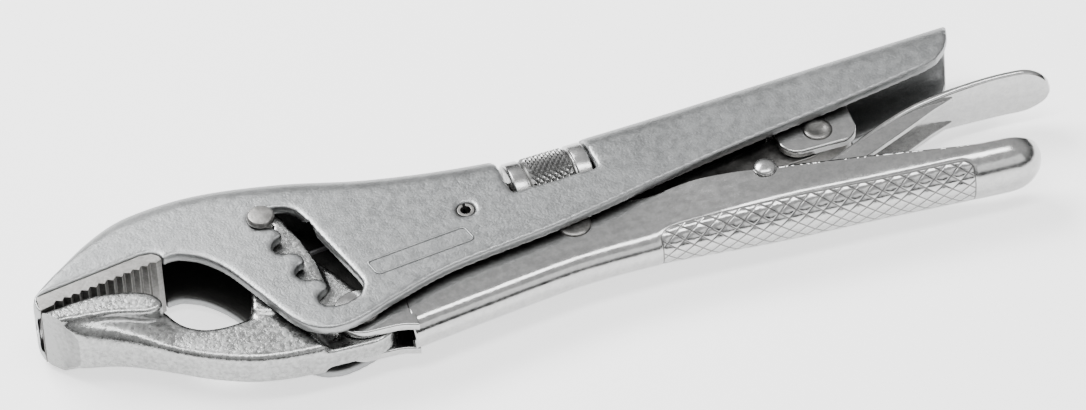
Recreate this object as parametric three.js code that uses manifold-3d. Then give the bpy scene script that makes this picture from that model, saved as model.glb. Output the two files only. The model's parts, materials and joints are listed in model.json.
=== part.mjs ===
// Locking pliers with an adjustable jaw pivot, lying on their side.
// Drawing frame, in millimetres: X runs from the nose to the tail, Y from the lower handle to the
// body, Z across the tool from its middle plane. The finished group is moved so that the middle of
// its box is over the origin and its lowest point is at Z = 0.
import * as THREE from 'three';
import { mergeVertices } from 'three/addons/utils/BufferGeometryUtils.js';
import Module from 'manifold-3d';

const wasm = await Module();
wasm.setup();

// ---------- driving dimensions ----------

const jawPivot = [-64.4, 17.1]; // pin in the first notch
const hingePivot = [-49, -15.5]; // lower jaw to lower handle
const linkPivot = [6.1, -4.9]; // lower handle to toggle link
const yokePivot = [70.6, 6.3]; // toggle link to yoke
const leverPivot = [53.9, -4]; // release lever in the handle
const springPin = [-17.6, 4.8]; // roll pin across the body
const springAnchor = [-59.4, 9.6]; // small pin across the jaw tang

const bodyHalf = 9; // half width of the folded body
const bodySheet = 3;
const handleSheet = 2.2;
const handleFrontHalf = 5.2;
const handleGripHalf = 7.8;
const lugHalf = 2.7; // jaw lug between the handle's ears
const tangHalf = 5.6; // jaw tang between the body's cheeks
const armHalf = 4.7;
const padHalf = 9;
const linkHalf = 2.5;
const yokeGapHalf = 3.1; // between the yoke's arms
const yokeHalf = 5.2;

const notchPitch = [2.93, -9.73];
const notchCount = 4;
const notchRadius = 2.75;
const pinRadius = 2.6;
const rivetRadius = 2.5;
const runningGap = 0.12; // radial clearance round pins

const rodTilt = THREE.MathUtils.degToRad(4);
const nutCentre = [5.4, 13.55];
const rodRadius = 3.9;
const rodFront = -18.6; // along the rod from the nut's centre
const rodRear = 63.5;
const nutLength = 19.9;
const nutRadius = 8.4;
const windowFront = -11.5;
const windowRear = 10.3;
const windowDepth = 6.2; // below the rod's axis

const toothPitch = 2.17;
const toothDepth = 1.1;

// ---------- finishes ----------

const finish = (color, roughness, metalness) =>
  new THREE.MeshStandardMaterial({ color, roughness, metalness });
const blastedNickel = finish(0xc6c6c4, 0.5, 0.9);
const forgedNickel = finish(0xb4b4b1, 0.45, 0.9);
const satinChrome = finish(0xd8d8d6, 0.25, 0.95);
const brightChrome = finish(0xe2e2e0, 0.18, 0.95);
const plainSteel = finish(0x8f8d8a, 0.4, 0.9);
const springSteel = finish(0x77767a, 0.35, 0.9);

// ---------- solids ----------

const vector = ([x, y]) => new THREE.Vector2(x, y);
const outline = (points) => new THREE.Shape(points.map(vector));
const smooth = (points, divisions) => new THREE.SplineCurve(points.map(vector)).getPoints(divisions);
const pairs = (vectors) => vectors.map((v) => [v.x, v.y]);

// Points of an arc, angles in degrees, turning the short way from start to end.
function arc([x, y], radius, start, end, steps) {
  const points = [];
  for (let i = 0; i <= steps; i += 1) {
    const angle = THREE.MathUtils.degToRad(start + ((end - start) * i) / steps);
    points.push([x + radius * Math.cos(angle), y + radius * Math.sin(angle)]);
  }
  return points;
}

function solid(geometry) {
  geometry.deleteAttribute('normal');
  geometry.deleteAttribute('uv');
  const merged = mergeVertices(geometry, 1e-4);
  return new wasm.Manifold(new wasm.Mesh({
    numProp: 3,
    vertProperties: new Float32Array(merged.attributes.position.array),
    triVerts: new Uint32Array(merged.index.array),
  }));
}

function slab(points, low, high) {
  const geometry = new THREE.ExtrudeGeometry(outline(points), { depth: high - low, bevelEnabled: false });
  return solid(geometry.translate(0, 0, low));
}

// A plate of the same thickness on both sides of the middle plane.
const bothSides = (points, inner, outer) => slab(points, inner, outer).add(slab(points, -outer, -inner));

const through = ([x, y], radius, sides = 20) => slab(arc([x, y], radius, 0, 360 - 360 / sides, sides - 1),
  -20, 20);

// A turned piece: profile of [radius, z], its axis across the tool at the given point.
function turned(profile, [x, y], sides = 24) {
  const geometry = new THREE.LatheGeometry(profile.map(vector), sides);
  return solid(geometry.rotateX(Math.PI / 2).translate(x, y, 0));
}

// A turned piece on the rod's axis: profile of [radius, distance along the rod].
function turnedOnRod(profile, sides = 32) {
  const geometry = new THREE.LatheGeometry(profile.map(vector), sides);
  geometry.rotateZ(-Math.PI / 2 + rodTilt).translate(nutCentre[0], nutCentre[1], 0);
  return solid(geometry);
}

// A closed skin through rings with the same number of points; flat outlines close its ends.
function loft(rings, firstFlat, lastFlat) {
  const count = rings[0].length;
  const index = [];
  for (let r = 0; r + 1 < rings.length; r += 1) {
    for (let i = 0; i < count; i += 1) {
      const a = r * count + i;
      const b = r * count + ((i + 1) % count);
      index.push(a, b, b + count, a, b + count, a + count);
    }
  }
  const cap = (flat, offset, reversed) => {
    const points = flat.map(vector);
    THREE.ShapeUtils.triangulateShape(points, []).forEach((corners) => {
      const [a, b, c] = corners.map((corner) => corner + offset);
      index.push(...(THREE.ShapeUtils.isClockWise(points) === reversed ? [a, b, c] : [c, b, a]));
    });
  };
  cap(firstFlat, 0, true);
  cap(lastFlat, (rings.length - 1) * count, false);
  const corners = rings.flat();
  let volume = 0;
  for (let i = 0; i < index.length; i += 3) {
    const [a, b, c] = [corners[index[i]], corners[index[i + 1]], corners[index[i + 2]]];
    volume += a.dot(b.clone().cross(c));
  }
  if (volume < 0) index.reverse();
  const geometry = new THREE.BufferGeometry();
  geometry.setAttribute('position', new THREE.Float32BufferAttribute(corners.flatMap((p) => p.toArray()),
    3));
  geometry.setIndex(index);
  return solid(geometry);
}

// Value of a smooth curve through [x, y] knots, read at x.
function along(knots) {
  const points = smooth(knots, 240);
  return (x) => {
    const i = Math.max(1, points.findIndex((p) => p.x >= x));
    const [a, b] = x > points.at(-1).x ? points.slice(-2) : [points[i - 1], points[i]];
    return a.y + ((b.y - a.y) * (x - a.x)) / (b.x - a.x);
  };
}

const tool = new THREE.Group();
tool.name = 'locking_pliers';

function add(name, manifold, material) {
  const { vertProperties, triVerts } = manifold.simplify(0.01).getMesh();
  const geometry = new THREE.BufferGeometry();
  geometry.setAttribute('position', new THREE.Float32BufferAttribute(vertProperties, 3));
  geometry.setIndex([...triVerts]);
  const mesh = new THREE.Mesh(geometry, material);
  mesh.name = name;
  tool.add(mesh);
}

// ---------- body ----------

// Where the flat cheeks turn into the rounded back, from the nose to the tail.
const bendKnots = [
  [-121, 5.1], [-121.4, 9.2], [-118.6, 12.3], [-113, 16.3], [-104, 20.8], [-90, 24.7], [-76, 25.6],
    [-58, 22.9],
  [-38, 17.7], [-16, 14.4], [4, 13.5], [30, 15], [70, 18.6], [114, 22.5],
];
// Underside of a cheek: the land over the jaw insert, the mouth, the belly and the tail.
const insertLine = [[-121.4, 10], [-94.5, 15.2], [-91.6, 15], [-90, 13.6], [-89.5, 12.2]];
const mouthLine = [
  [-89.5, 12.2], [-87.3, 12.6], [-84.5, 12], [-80, 9], [-75.5, 3.2], [-70, -7.6], [-65.4, -16.4],
    [-61, -20.6],
  [-56, -21.8], [-50, -20.7], [-40, -16.6], [-25, -11.6], [0, -7.2], [15, -3.8], [30, 0], [50, 4.6],
    [80, 10.6],
  [101, 15.2],
];
const tailLine = [[101, 15.2], [104.5, 16.6], [107.4, 19.2], [109.2, 22.2], [110.6, 26.6], [111.8, 31.4]];

// How far the back stands out from the bend line: a full half round, flattened towards the nose.
const backHeight = (x) => THREE.MathUtils.lerp(1.1, bodyHalf, THREE.MathUtils.smoothstep(x, -122, -92));

function bentBack() {
  const stations = 36;
  const steps = 8;
  const skirt = -0.6;
  const line = new THREE.SplineCurve(bendKnots.map(vector));
  const section = (x) => {
    const height = backHeight(x);
    const outer = [];
    const inner = [];
    for (let i = 0; i <= steps; i += 1) {
      const angle = (Math.PI * i) / steps;
      outer.push([height * Math.sin(angle), bodyHalf * Math.cos(angle)]);
      inner.push([Math.max(0.3, height - bodySheet) * Math.sin(angle),
        (bodyHalf - bodySheet) * Math.cos(angle)]);
    }
    return [...outer, [skirt, -bodyHalf], [skirt, bodySheet - bodyHalf], ...inner.reverse(),
      [skirt, bodyHalf - bodySheet], [skirt, bodyHalf]];
  };
  const rings = [];
  const flats = [];
  for (let s = 0; s <= stations; s += 1) {
    const point = line.getPointAt(s / stations);
    const tangent = line.getTangentAt(s / stations);
    const flat = section(point.x);
    flats.push(flat);
    rings.push(flat.map(([out, z]) => new THREE.Vector3(point.x - tangent.y * out,
      point.y + tangent.x * out, z)));
  }
  return loft(rings, flats[0], flats.at(-1));
}

// The stepped slot for the jaw pin: four notches at the front, a straight rear edge.
function notchedSlot() {
  const points = [];
  for (let n = 0; n < notchCount; n += 1) {
    const centre = [jawPivot[0] + notchPitch[0] * n, jawPivot[1] + notchPitch[1] * n];
    points.push(...arc(centre, notchRadius, n === 0 ? 90 : 100, 265, 8));
    if (n < notchCount - 1) points.push(...arc([centre[0] + 0.2, centre[1] - 6], 3.2, 85, -10, 5));
  }
  points.push([-53.5, -15.1], [-50.6, -14.5], [-48.4, -12.9], [-47.2, -10.6], [-47.3, -8.3]);
  points.push([-54.8, 15], [-56, 17.6], [-58.2, 19.4], [-60.8, 20]);
  return points;
}

function rodBox(front, rear, low, high, half) {
  const geometry = new THREE.BoxGeometry(rear - front, high - low, 2 * half);
  geometry.translate((front + rear) / 2, (low + high) / 2, 0).rotateZ(rodTilt).translate(nutCentre[0],
    nutCentre[1], 0);
  return solid(geometry);
}

function bodyShell() {
  const bend = pairs(new THREE.SplineCurve(bendKnots.map(vector)).getPoints(90)).filter(([x, y]) =>
    x < 108.9 && y > 9.9);
  const cheek = [...insertLine, ...pairs(smooth(mouthLine, 56)).slice(1), ...tailLine.slice(1, 4),
    ...bend.reverse()];
  const beyondTail = [...tailLine.slice(2), [118, 33], [118, 18]];
  return bothSides(cheek, bodyHalf - bodySheet, bodyHalf)
    .add(bentBack())
    .subtract(slab(beyondTail, -12, 12))
    .subtract(slab(notchedSlot(), -12, 12))
    .subtract(through(springPin, 2.2))
    .subtract(rodBox(windowFront, windowRear, -windowDepth, 14, 12));
}

// The toothed land, full width under the cheeks, with a tongue between them.
function jawInsert() {
  const teeth = [];
  const [startX, startY] = [-117.4, 6.1];
  const slope = 0.2;
  for (let i = 0; i < 12; i += 1) {
    const x = startX + toothPitch * i;
    teeth.push([x, startY + slope * (x - startX)]);
    teeth.push([x + toothPitch * 0.35, startY + slope * (x - startX) + toothDepth]);
  }
  const land = [[-120.1, 5.3], ...teeth, [-91.3, 11.4], [-89.9, 12.1], [-90.2, 13.3], [-91.7, 14.6],
    [-94.5, 14.8], [-119.5, 9.85]];
  const tongue = [[-117.5, 9], [-93, 13], [-91.5, 18.5], [-101, 17.8], [-111, 14.1], [-116.5, 11]];
  return slab(land, -bodyHalf + 0.05, bodyHalf - 0.05).add(slab(tongue, bodySheet - bodyHalf + 0.15,
    bodyHalf - bodySheet - 0.15));
}

// ---------- lower jaw ----------

const ringRound = (radius, start, end, steps) => arc(hingePivot, radius, start, end, steps);

function lowerJaw() {
  const noseTop = [-120.9, 4.85];
  const padTop = pairs(smooth([noseTop, [-117, 5.2], [-113, 5.8], [-109, 6.1], [-105, 5.9], [-101, 5.1],
    [-97, 3.8], [-94.6, 2.2], [-93.2, 0]], 20));
  const padUnder = [[-93.3, -1.6], [-94.6, -2.6], [-97, -2.9], [-100, -2.1], [-104, -0.9], [-108, -0.3],
    [-112, -0.4], [-115, -0.9]];
  const chin = [[-119.6, 3], [-114.8, -1.8], [-112.6, -3.4], [-108.5, -4.8], [-106, -4], [-105, 1]];
  const neck = [[-112, 1], [-112, -3.4], [-106, -5.6], [-101, -7.6], [-96, -6], [-95, -2], [-100, 1]];
  const armUnder = pairs(smooth([[-114.8, -1.45], [-112.4, -3.1], [-103.5, -6.9], [-98, -10.2],
    [-88, -16.6], [-78, -21.2], [-69.7, -23.1], [-62, -23.7]], 16));
  const throat = [[-72, -2], [-74.5, -8.2], [-80, -8.7], [-84.3, -8.3], [-86.8, -7.2], [-89.3, -5.3],
    [-91.1, -2.6], [-92.4, 0.6], [-104, 3]];
  const arm = [...armUnder, ...ringRound(12.3, 220, 143, 8), [-60, -3], ...throat];
  const tang = [
    ...arc(jawPivot, 6, 200, -4, 12), [-56.3, 11.2], [-54.8, 3.2], [-54.4, -4.8], [-57, -7.6], [-61, -9],
      [-69, -9.2],
    [-73.6, -7.4], [-71.5, 0], [-70.3, 8],
  ];
  const lug = [...ringRound(8.3, -90, 70, 12), [-48.6, -4.6], [-50.8, 0], [-53.6, 4.8], [-60, 4],
    [-66, -10], [-66, -23.4], [-60, -23.75]];
  const noseBevel = [[-121.1, 5.2], [-112.9, -3.8], [-122, -3.8]];
  const grooves = [];
  for (let i = 0; i < 9; i += 1) {
    const x = -115.6 + toothPitch * i;
    const top = padTop.find(([px]) => px >= x)[1];
    grooves.push(slab([[x, top - 0.9], [x + 0.75, top + 0.6], [x - 0.75, top + 0.6]], -7.6, 7.6));
  }
  let jaw = slab([...padTop, ...padUnder], -padHalf, padHalf)
    .add(slab(chin, -7.8, 7.8))
    .add(slab(neck, -6, 6))
    .add(slab(arm, -armHalf, armHalf))
    .add(slab(tang, -tangHalf, tangHalf))
    .add(slab(lug, -lugHalf, lugHalf))
    .subtract(slab(noseBevel, -12, 12))
    .subtract(through(jawPivot, pinRadius + runningGap))
    .subtract(through(hingePivot, rivetRadius + runningGap))
    .subtract(through(springAnchor, 1 + runningGap, 12))
    .subtract(slab([[-62.4, 7], [-50, 4], [-50, 14], [-62.4, 12.4]], -1.1, 1.1));
  grooves.forEach((groove) => { jaw = jaw.subtract(groove); });
  return jaw;
}

// ---------- lower handle ----------

const handleTop = along([
  [-40, -9.2], [-25, -6], [-6, -0.6], [6, 0.9], [16, -0.6], [24.8, -1.8], [36, -0.9], [45, -1.9],
    [56.7, -4.3],
  [79.4, -8.2], [99.3, -11.9], [108, -12.9], [121, -13],
]);
const handleBottom = along([[-40, -24.8], [-20, -21.5], [0, -18.4], [10, -17.5], [20, -17.2], [30, -17.3],
  [52, -18.3], [80, -19.1], [105, -20.2], [121, -20.4]]);
const gripRound = 110; // where the tail starts to round off
const handleTail = 119.9;

function handleHalf(x) {
  const half = THREE.MathUtils.lerp(handleFrontHalf, handleGripHalf, THREE.MathUtils.smoothstep(x, 16, 62));
  const t = Math.max(0, (x - gripRound) / (handleTail - gripRound));
  return half * Math.sqrt(Math.max(0, 1 - t * t));
}

function handleFloor(x) {
  const t = Math.max(0, (x - gripRound - 2) / (handleTail - gripRound - 2));
  const rim = -13.6;
  return rim + (handleBottom(x) - rim) * Math.sqrt(Math.max(0, 1 - t * t));
}

// A trough section: straight sides down to a rounded floor.
function trough(x, half, floor, top) {
  const round = Math.min(0.92 * half, 0.95 * (top - floor));
  const side = 0.92 * half;
  const steps = 7;
  const points = [[half, top]];
  for (let i = 0; i <= steps; i += 1) {
    const angle = (Math.PI / 2) * (i / steps);
    points.push([half - side + side * Math.cos(angle), floor + round - round * Math.sin(angle)]);
  }
  const mirrored = points.map(([z, y]) => [-z, y]).reverse();
  const flat = [...points, ...mirrored];
  return { flat, ring: flat.map(([z, y]) => new THREE.Vector3(x, y, z)) };
}

function troughLoft(stations, section) {
  const sections = stations.map(section);
  return loft(sections.map((s) => s.ring), sections[0].flat, sections.at(-1).flat);
}

function lowerHandle() {
  const front = -39.2;
  const stations = (start, end, count, ease) => Array.from({ length: count + 1 }, (_, i) =>
    start + (end - start) * (i / count) ** ease);
  const outerX = [...stations(front, gripRound, 30, 1),
    ...stations(gripRound, handleTail - 0.05, 9, 0.6).slice(1)];
  const innerX = [...stations(front - 1, gripRound, 30, 1),
    ...stations(gripRound, handleTail - handleSheet - 0.3, 7, 0.6).slice(1)];
  const outer = troughLoft(outerX, (x) => trough(x, handleHalf(x), handleFloor(x), handleTop(x)));
  const inner = troughLoft(innerX, (x) => trough(x,
    handleHalf(x + (x > gripRound ? handleSheet * 0.6 : 0)) - handleSheet,
    handleFloor(x + (x > gripRound ? handleSheet * 0.6 : 0)) + handleSheet, handleTop(x) + 3));
  const ear = [...ringRound(7, 80, 270, 16), [-42.5, -22.6], [-40.6, -22.9], [-38.4, -24], [-38.4, -9],
    [-42, -8.8]];
  return outer.subtract(inner)
    .add(bothSides(ear, handleFrontHalf - handleSheet, handleFrontHalf))
    .subtract(through(hingePivot, rivetRadius + runningGap))
    .subtract(through(linkPivot, rivetRadius + runningGap))
    .subtract(through(leverPivot, 2 + runningGap));
}

// ---------- toggle, yoke and adjuster ----------

// The eye at the yoke end is a wide slot, so the closing pivot stays clear through the whole swing.
function toggleLink() {
  const angle = Math.atan2(yokePivot[1] - linkPivot[1], yokePivot[0] - linkPivot[0]);
  const length = Math.hypot(yokePivot[0] - linkPivot[0], yokePivot[1] - linkPivot[1]);
  const bar = [...arc([0, 0], 6, 60, 300, 12), [12, -4.2], [length - 16, -4.2], [length - 5, -5.2],
    ...arc([length + 3.8, 0], 4.8, -78, 78, 10),
    [length - 5, 5.4], [length - 16, 4.2], [12, 4.2]];
  const eye = [...arc([length - 3, 0.6], 3.1, 90, 270, 8), ...arc([length + 3.9, 0], 3, -90, 90, 8)];
  const place = (points) => points.map(([x, y]) => [
    linkPivot[0] + x * Math.cos(angle) - y * Math.sin(angle),
      linkPivot[1] + x * Math.sin(angle) + y * Math.cos(angle),
  ]);
  return slab(place(bar), -linkHalf, linkHalf)
    .subtract(through(linkPivot, rivetRadius + runningGap))
    .subtract(slab(place(eye), -linkHalf - 1, linkHalf + 1));
}

const yokeSide = [
  ...arc([65.6, 6], 5.4, 190, 262, 6), ...arc([75, 5.9], 4.9, 276, 355, 6), [79.8, 16], [78, 19],
    [74.5, 20.2],
  [62, 19.9], [60.2, 18],
];

// A clevis: a tapped boss over two arms that take the link between them.
function yoke() {
  const armGap = [[50, -5], [90, -5], [90, 30], [70, 30], [69, 13.2], [50, 12.6]];
  return slab(yokeSide, -yokeHalf, yokeHalf)
    .add(turnedOnRod([[0, 54.4], [5.2, 54.4], [5.2, 64], [0, 64]], 28))
    .subtract(slab(armGap, -yokeGapHalf, yokeGapHalf))
    .subtract(turnedOnRod([[0, 40], [rodRadius + runningGap, 40], [rodRadius + runningGap, 80], [0, 80]],
      20))
    .subtract(through(yokePivot, 1.6 + runningGap, 16));
}

// A tube rolled over into a flat ring at both ends.
const yokePin = () =>
  turned([[0.9, -5.75], [3.6, -5.75], [3.6, -5.3], [1.6, -5.3], [1.6, 5.3], [3.6, 5.3], [3.6, 5.75],
  [0.9, 5.75], [0.9, -5.75]], yokePivot, 24);

const adjustingRod = () =>
  turnedOnRod([[0, rodFront], [rodRadius - 0.8, rodFront], [rodRadius, rodFront + 0.8],
  [rodRadius, rodRear], [0, rodRear]], 24);

function adjustingNut() {
  const half = nutLength / 2;
  const groove = nutRadius - 0.45;
  const profile = [[rodRadius + 0.2, -half], [nutRadius - 0.4, -half], [nutRadius, -half + 0.4]];
  [-6.4, 6.1].forEach((at) => profile.push([nutRadius, at], [groove, at], [groove, at + 0.3],
    [nutRadius, at + 0.3]));
  profile.push([nutRadius, half - 0.4], [nutRadius - 0.4, half], [rodRadius + 0.2, half],
    [rodRadius + 0.2, -half]);
  return turnedOnRod(profile, 40);
}

// ---------- release lever ----------

const leverLine = new THREE.SplineCurve([
  [60, -8.2], [66, -6.6], [71, -5], [77, -2.2], [86, 2.2], [94, 5], [102, 6.4], [111, 7.1], [119, 7.2],
    [126, 6.6], [129.8, 5.4],
].map(vector));

function leverHalf(x) {
  const spoon = THREE.MathUtils.lerp(5, 6.9, THREE.MathUtils.smoothstep(x, 80, 118));
  const t = Math.max(0, (x - 122.2) / 7.7);
  return spoon * Math.sqrt(Math.max(0.004, 1 - t * t));
}

function releaseLever() {
  const thickness = 1.6;
  const stations = 34;
  const rings = [];
  for (let s = 0; s <= stations; s += 1) {
    const point = leverLine.getPointAt(s / stations);
    const tangent = leverLine.getTangentAt(s / stations);
    const half = leverHalf(point.x);
    rings.push([[0, half], [0, -half], [thickness, -half], [thickness, half]].map(
      ([up, z]) => new THREE.Vector3(point.x - tangent.y * up, point.y + tangent.x * up, z),
    ));
  }
  const flat = [[0, 1], [0, -1], [1, -1], [1, 1]];
  const cheek = [[49.5, -10.4], [60, -9.6], [72, -8], [82, -4.2], [91, 0], [99, 3.9], [105, 6.3],
    [105, 7.4], [98, 6.4],
    [90, 4.2], [82, 0.9], [74, -2.7], [66, -4.4], [60, -3], ...arc(leverPivot, 3.9, 20, 150, 6),
      [49.5, -4.6]];
  const nose = [[33.5, -12.6], [37, -12.8], [51, -10.1], [51, -6.8], [44, -8], [33.5, -9.4]];
  return loft(rings, flat, flat)
    .add(bothSides(cheek, 3.3, 4.9))
    .add(slab(nose, -3.4, 3.4))
    .subtract(through(leverPivot, 2 + runningGap));
}

// ---------- pins, rivets and spring ----------

// A pin with a head at both ends: shank and head radii, where the heads start and end, and the size of
// their flat.
const headedPin = (shank, head, inner, outer, crown) => {
  const shoulder = outer * 0.55 + inner * 0.45;
  return [
    [0, -outer], [head * crown, -outer], [head, -shoulder], [head, -inner], [shank, -inner],
    [shank, inner], [head, inner], [head, shoulder], [head * crown, outer], [0, outer],
  ];
};

const jawPin = () => turned([
  [0, -10.3], [1.9, -10.3], [1.9, -9.2], [pinRadius, -9.2], [pinRadius, 9.1], [3.35, 9.1], [3.35, 9.9],
    [2.95, 10.6], [0, 10.6],
], jawPivot, 28);
const jawPinCollar = () =>
  turned([[2.05, -10.4], [2.95, -10.4], [3.35, -9.9], [3.35, -9.3], [2.05, -9.3], [2.05, -10.4]], jawPivot,
  28);

function spring() {
  const centre = [springPin[0] - springAnchor[0], springPin[1] - springAnchor[1]];
  const span = Math.hypot(...centre);
  const along3 = new THREE.Vector3(centre[0] / span, centre[1] / span, 0);
  const side = new THREE.Vector3(-along3.y, along3.x, 0);
  const up = new THREE.Vector3(0, 0, 1);
  const start = new THREE.Vector3(...springAnchor, 0);
  const at = (a, s, u) => start.clone().addScaledVector(along3, a).addScaledVector(side,
    s).addScaledVector(up, u);
  const points = [];
  for (let i = 0; i <= 6; i += 1) {
    const angle = Math.PI * (-0.45 - 1.45 * (i / 6));
    points.push(at(2 * Math.cos(angle), 2 * Math.sin(angle), 0));
  }
  const [coilStart, coilEnd, coilRadius, turns] = [13, 36.5, 3.8, 9];
  points.push(at(5, 2.2, 0));
  for (let i = 0; i <= turns * 10; i += 1) {
    const angle = 2 * Math.PI * (i / 10);
    points.push(at(coilStart + ((coilEnd - coilStart) * i) / (turns * 10), coilRadius * Math.cos(angle),
      coilRadius * Math.sin(angle)));
  }
  for (let i = 0; i <= 7; i += 1) {
    const angle = Math.PI * (0.68 - 1.5 * (i / 7));
    points.push(at(span + 2.9 * Math.cos(angle), 2.9 * Math.sin(angle), 0));
  }
  const path = new THREE.CatmullRomCurve3(points, false, 'centripetal');
  const wire = new THREE.Shape().absarc(0, 0, 0.55, 0, 2 * Math.PI);
  return solid(new THREE.ExtrudeGeometry(wire, { extrudePath: path, steps: 130, curveSegments: 3,
    bevelEnabled: false }));
}

function rollPin() {
  const tube = turned([[1.25, -8.6], [2.08, -8.6], [2.08, 8.6], [1.25, 8.6], [1.25, -8.6]], springPin, 20);
  return tube.subtract(slab([[springPin[0] - 0.35, springPin[1]], [springPin[0] + 0.35, springPin[1]],
    [springPin[0] + 0.35, springPin[1] + 3], [springPin[0] - 0.35, springPin[1] + 3]], -10, 10));
}

const stopClip = () => turnedOnRod([
  [rodRadius + 0.1, rodFront + 1], [5.2, rodFront + 1], [5.2, rodFront + 1.8],
    [rodRadius + 0.1, rodFront + 1.8],
  [rodRadius + 0.1, rodFront + 1],
], 24);

const flatRivet = (at) =>
  turned(headedPin(rivetRadius, 4, handleFrontHalf + 0.05, handleFrontHalf + 0.6, 0.86), at, 24);
const leverRivet = () => turned(headedPin(2, 2.8, handleGripHalf + 0.02, handleGripHalf + 1.2, 0.45),
  leverPivot, 20);
const anchorPin = () => turned([[0, -5.4], [1, -5.4], [1, 5.4], [0, 5.4]], springAnchor, 12);

// ---------- the tool ----------

add('body_shell', bodyShell(), blastedNickel);
add('upper_jaw_insert', jawInsert(), plainSteel);
add('spring_pin', rollPin(), plainSteel);
add('lower_jaw', lowerJaw(), forgedNickel);
add('jaw_pivot_pin', jawPin(), plainSteel);
add('jaw_pivot_collar', jawPinCollar(), plainSteel);
add('spring_anchor_pin', anchorPin(), plainSteel);
add('lower_handle', lowerHandle(), satinChrome);
add('hinge_rivet', flatRivet(hingePivot), plainSteel);
add('link_rivet', flatRivet(linkPivot), plainSteel);
add('lever_rivet', leverRivet(), brightChrome);
add('toggle_link', toggleLink(), plainSteel);
add('yoke', yoke(), satinChrome);
add('yoke_pin', yokePin(), brightChrome);
add('adjusting_rod', adjustingRod(), plainSteel);
add('rod_stop_clip', stopClip(), springSteel);
add('adjusting_nut', adjustingNut(), brightChrome);
add('release_lever', releaseLever(), satinChrome);
add('opening_spring', spring(), springSteel);

const box = new THREE.Box3().setFromObject(tool);
const middle = box.getCenter(new THREE.Vector3());
tool.position.set(-middle.x, -middle.y, -box.min.z);

export default tool;
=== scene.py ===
# Locking pliers lying on their side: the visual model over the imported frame.
import json
import math

import bmesh
import bpy
import numpy as np
from mathutils import Matrix, Vector


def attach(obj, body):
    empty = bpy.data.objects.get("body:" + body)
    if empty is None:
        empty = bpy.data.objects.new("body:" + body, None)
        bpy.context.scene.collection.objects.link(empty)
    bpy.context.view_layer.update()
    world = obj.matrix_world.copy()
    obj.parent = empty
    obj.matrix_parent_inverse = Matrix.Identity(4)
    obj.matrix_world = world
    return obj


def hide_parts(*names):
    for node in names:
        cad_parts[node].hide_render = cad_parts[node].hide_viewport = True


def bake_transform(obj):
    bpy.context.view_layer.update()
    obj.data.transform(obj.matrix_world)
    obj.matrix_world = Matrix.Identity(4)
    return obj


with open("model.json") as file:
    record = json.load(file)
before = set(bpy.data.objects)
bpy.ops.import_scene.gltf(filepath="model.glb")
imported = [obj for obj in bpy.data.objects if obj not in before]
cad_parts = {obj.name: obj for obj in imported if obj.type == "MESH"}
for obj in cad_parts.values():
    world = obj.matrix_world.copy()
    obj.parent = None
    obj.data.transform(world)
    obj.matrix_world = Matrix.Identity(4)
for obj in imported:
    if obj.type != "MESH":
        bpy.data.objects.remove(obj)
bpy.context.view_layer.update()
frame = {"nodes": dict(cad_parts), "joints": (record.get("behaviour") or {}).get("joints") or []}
nodes = frame["nodes"]
joints = {joint["name"]: joint for joint in frame["joints"]}
print("frame loaded:", len(nodes), "nodes")

# Outlines are in millimetres about the tool's middle plane: X to the tail, Y to the body, Z across.
jawPivot = (-64.4, 17.1)
hingePivot = (-49.0, -15.5)
linkPivot = (6.1, -4.9)
yokePivot = (70.6, 6.3)
leverPivot = (53.9, -4.0)
rollPin = (-17.6, 4.8)
springAnchor = (-59.4, 9.6)
shift = [joints["jaw_swing"]["pos_m"][0] * 1000 - jawPivot[0],
         joints["jaw_swing"]["pos_m"][1] * 1000 - jawPivot[1],
         joints["jaw_swing"]["pos_m"][2] * 1000]
through = 12  # half the depth of a cut right through
rodTilt = math.radians(4)
nutCentre = (5.4, 13.55)


def at(x, y, z=0.0):
    return Vector(((x + shift[0]) / 1000, (y + shift[1]) / 1000, (z + shift[2]) / 1000))


def spline(knots, count):  # an even Catmull-Rom curve through the knots
    out = []
    for i in range(count + 1):
        t = (len(knots) - 1) * i / count
        k = min(int(t), len(knots) - 2)
        w = t - k
        a, b, c, d = (knots[max(0, min(len(knots) - 1, k + j))] for j in (-1, 0, 1, 2))
        out.append(tuple(
            0.5 * ((2 * b[n]) + (c[n] - a[n]) * w + (2 * a[n] - 5 * b[n] + 4 * c[n] - d[n]) * w * w
                   + (3 * b[n] - a[n] - 3 * c[n] + d[n]) * w ** 3) for n in range(len(b))))
    return out


def arc(centre, radius, start, end, steps):
    angles = [math.radians(start + (end - start) * i / steps) for i in range(steps + 1)]
    return [(centre[0] + radius * math.cos(a), centre[1] + radius * math.sin(a)) for a in angles]


def even(points, step, closed=False):  # the same line with points a step apart
    points = [np.array(p, float) for p in points]
    if closed:
        points.append(points[0])
    lengths = [0.0]
    for a, b in zip(points, points[1:]):
        lengths.append(lengths[-1] + float(np.linalg.norm(b - a)))
    count = max(2, round(lengths[-1] / step))
    marks = np.linspace(0, lengths[-1], count + 1)
    out = list(zip(*(np.interp(marks, lengths, [p[n] for p in points]) for n in range(len(points[0])))))
    return out[:-1] if closed else out


def reader(knots):  # y of a smooth curve, read at x
    xs, ys = zip(*spline(knots, 400))
    return lambda x: float(np.interp(x, xs, ys))


def tangent(line, k):
    a, b = line[max(0, k - 1)], line[min(len(line) - 1, k + 1)]
    length = math.hypot(b[0] - a[0], b[1] - a[1])
    return (b[0] - a[0]) / length, (b[1] - a[1]) / length


def smoothstep(x, low, high):
    t = min(1.0, max(0.0, (x - low) / (high - low)))
    return t * t * (3 - 2 * t)


def toScene(piece):
    bpy.context.scene.collection.objects.link(piece)


def newPiece(name, vertices, faces):
    mesh = bpy.data.meshes.new(name)
    mesh.from_pydata([tuple(v) for v in vertices], [], faces)
    mesh.update()
    piece = bpy.data.objects.new(name, mesh)
    toScene(piece)
    return piece


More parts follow.
